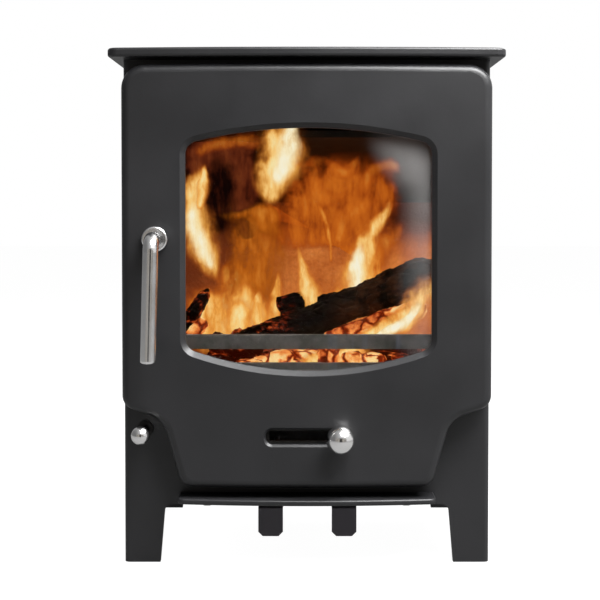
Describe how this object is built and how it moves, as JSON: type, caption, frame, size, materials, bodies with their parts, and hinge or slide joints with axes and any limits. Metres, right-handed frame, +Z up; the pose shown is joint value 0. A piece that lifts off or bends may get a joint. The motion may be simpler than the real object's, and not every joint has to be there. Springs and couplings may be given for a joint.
{
  "type": "multi-fuel stove",
  "caption": "Compact freestanding cast multi-fuel stove: wide barrel-window door, air slide, riddling grate, ash pan, ash lip, rear flue collar and blanked top outlet.",
  "frame": {"origin": "on the floor, in the middle of the stove's width and depth", "axes": "+X to the right as seen from the front, +Y to the back along the flue collar, +Z up"},
  "size_m": [0.434, 0.4094, 0.57],
  "materials": {
    "stove_paint": "matt black heat-resistant paint on cast iron",
    "bare_cast_iron": "unpainted cast iron, heat stained",
    "firebrick": "pale refractory brick, smoke stained",
    "polished_chrome": "polished",
    "plain_steel": "plain mild steel",
    "door_glass": "clear heat-resistant ceramic glass",
    "sealing_rope": "knitted glass-fibre rope",
    "shield_paint": "dark satin paint on folded sheet",
    "ash_pan_steel": "dark sheet steel"
  },
  "bodies": {
    "stove_body": {"front_frame": "stove_paint", "back_panel": "stove_paint", "left_side_panel": "stove_paint", "right_side_panel": "stove_paint", "base_plate": "stove_paint", "ash_pan_rails": "plain_steel", "grate_supports": "bare_cast_iron", "top_plate": "stove_paint", "flue_blanking_plate": "stove_paint", "blanking_clamp": "plain_steel", "blanking_bolt": "plain_steel", "ash_lip": "stove_paint", "lip_screws": "plain_steel", "hearth_shield": "shield_paint", "shield_spacers": "plain_steel", "shield_bolts": "plain_steel", "flue_collar": "stove_paint", "collar_bolts": "plain_steel", "tie_rods": "plain_steel", "tie_nuts": "plain_steel", "left_brick": "firebrick", "right_brick": "firebrick", "rear_brick_lower": "firebrick", "rear_brick_upper": "firebrick", "baffle": "bare_cast_iron", "grate_frame": "bare_cast_iron", "log_guard": "bare_cast_iron", "airwash_deflector": "plain_steel", "upper_hinge_lug": "plain_steel", "lower_hinge_lug": "plain_steel", "hinge_pins": "plain_steel", "latch_keeper": "plain_steel", "keeper_screws": "plain_steel", "riddle_bush": "plain_steel", "riddle_guide": "plain_steel"},
    "door": {"door_casting": "stove_paint", "door_glass": "door_glass", "glass_gasket": "sealing_rope", "upper_glass_bar": "plain_steel", "lower_glass_bar": "plain_steel", "air_guides": "plain_steel", "glass_screws": "plain_steel", "guide_screws": "plain_steel", "door_rope": "sealing_rope", "handle_rosette": "polished_chrome"},
    "handle": {"handle_bar": "polished_chrome", "latch_cam": "plain_steel", "latch_nut": "plain_steel"},
    "air_slide": {"air_slide_plate": "plain_steel", "air_knob_stem": "plain_steel", "air_knob": "polished_chrome"},
    "riddling_rod": {"riddle_rod": "plain_steel", "riddle_knob": "polished_chrome", "riddle_yoke": "plain_steel"},
    "grate_turntable": {"grate_disc": "bare_cast_iron", "grate_pin": "plain_steel"},
    "ash_drawer": {"ash_pan": "ash_pan_steel", "ash_pan_handle": "ash_pan_steel"}
  },
  "joints": [
    {"name": "door_hinge", "type": "hinge", "parent": "stove_body", "child": "door", "pos_m": [0.192, -0.1398, 0.335], "axis": [0, 0, 1], "range_deg": [0, 105]},
    {"name": "handle_turn", "type": "hinge", "parent": "door", "child": "handle", "pos_m": [-0.165, -0.16, 0.3624], "axis": [0, 1, 0], "range_deg": [-15, 75]},
    {"name": "air_slide", "type": "slide", "parent": "door", "child": "air_slide", "axis": [1, 0, 0], "range_m": [-0.073, 0]},
    {"name": "riddle_pull", "type": "slide", "parent": "stove_body", "child": "riddling_rod", "axis": [0, -1, 0], "range_m": [0, 0.035]},
    {"name": "grate_turn", "type": "hinge", "parent": "stove_body", "child": "grate_turntable", "pos_m": [0, 0.0077, 0.194], "axis": [0, 0, 1], "range_deg": [0, 25.2]},
    {"name": "ash_pan_slide", "type": "slide", "parent": "stove_body", "child": "ash_drawer", "axis": [0, -1, 0], "range_m": [0, 0.184]}
  ],
  "couplings": [
    {"joint": "grate_turn", "follows": "riddle_pull", "rad_per_m": 12.5},
    {"joint": "ash_pan_slide", "follows": "door_hinge", "m_per_rad": 0.1}
  ]
}
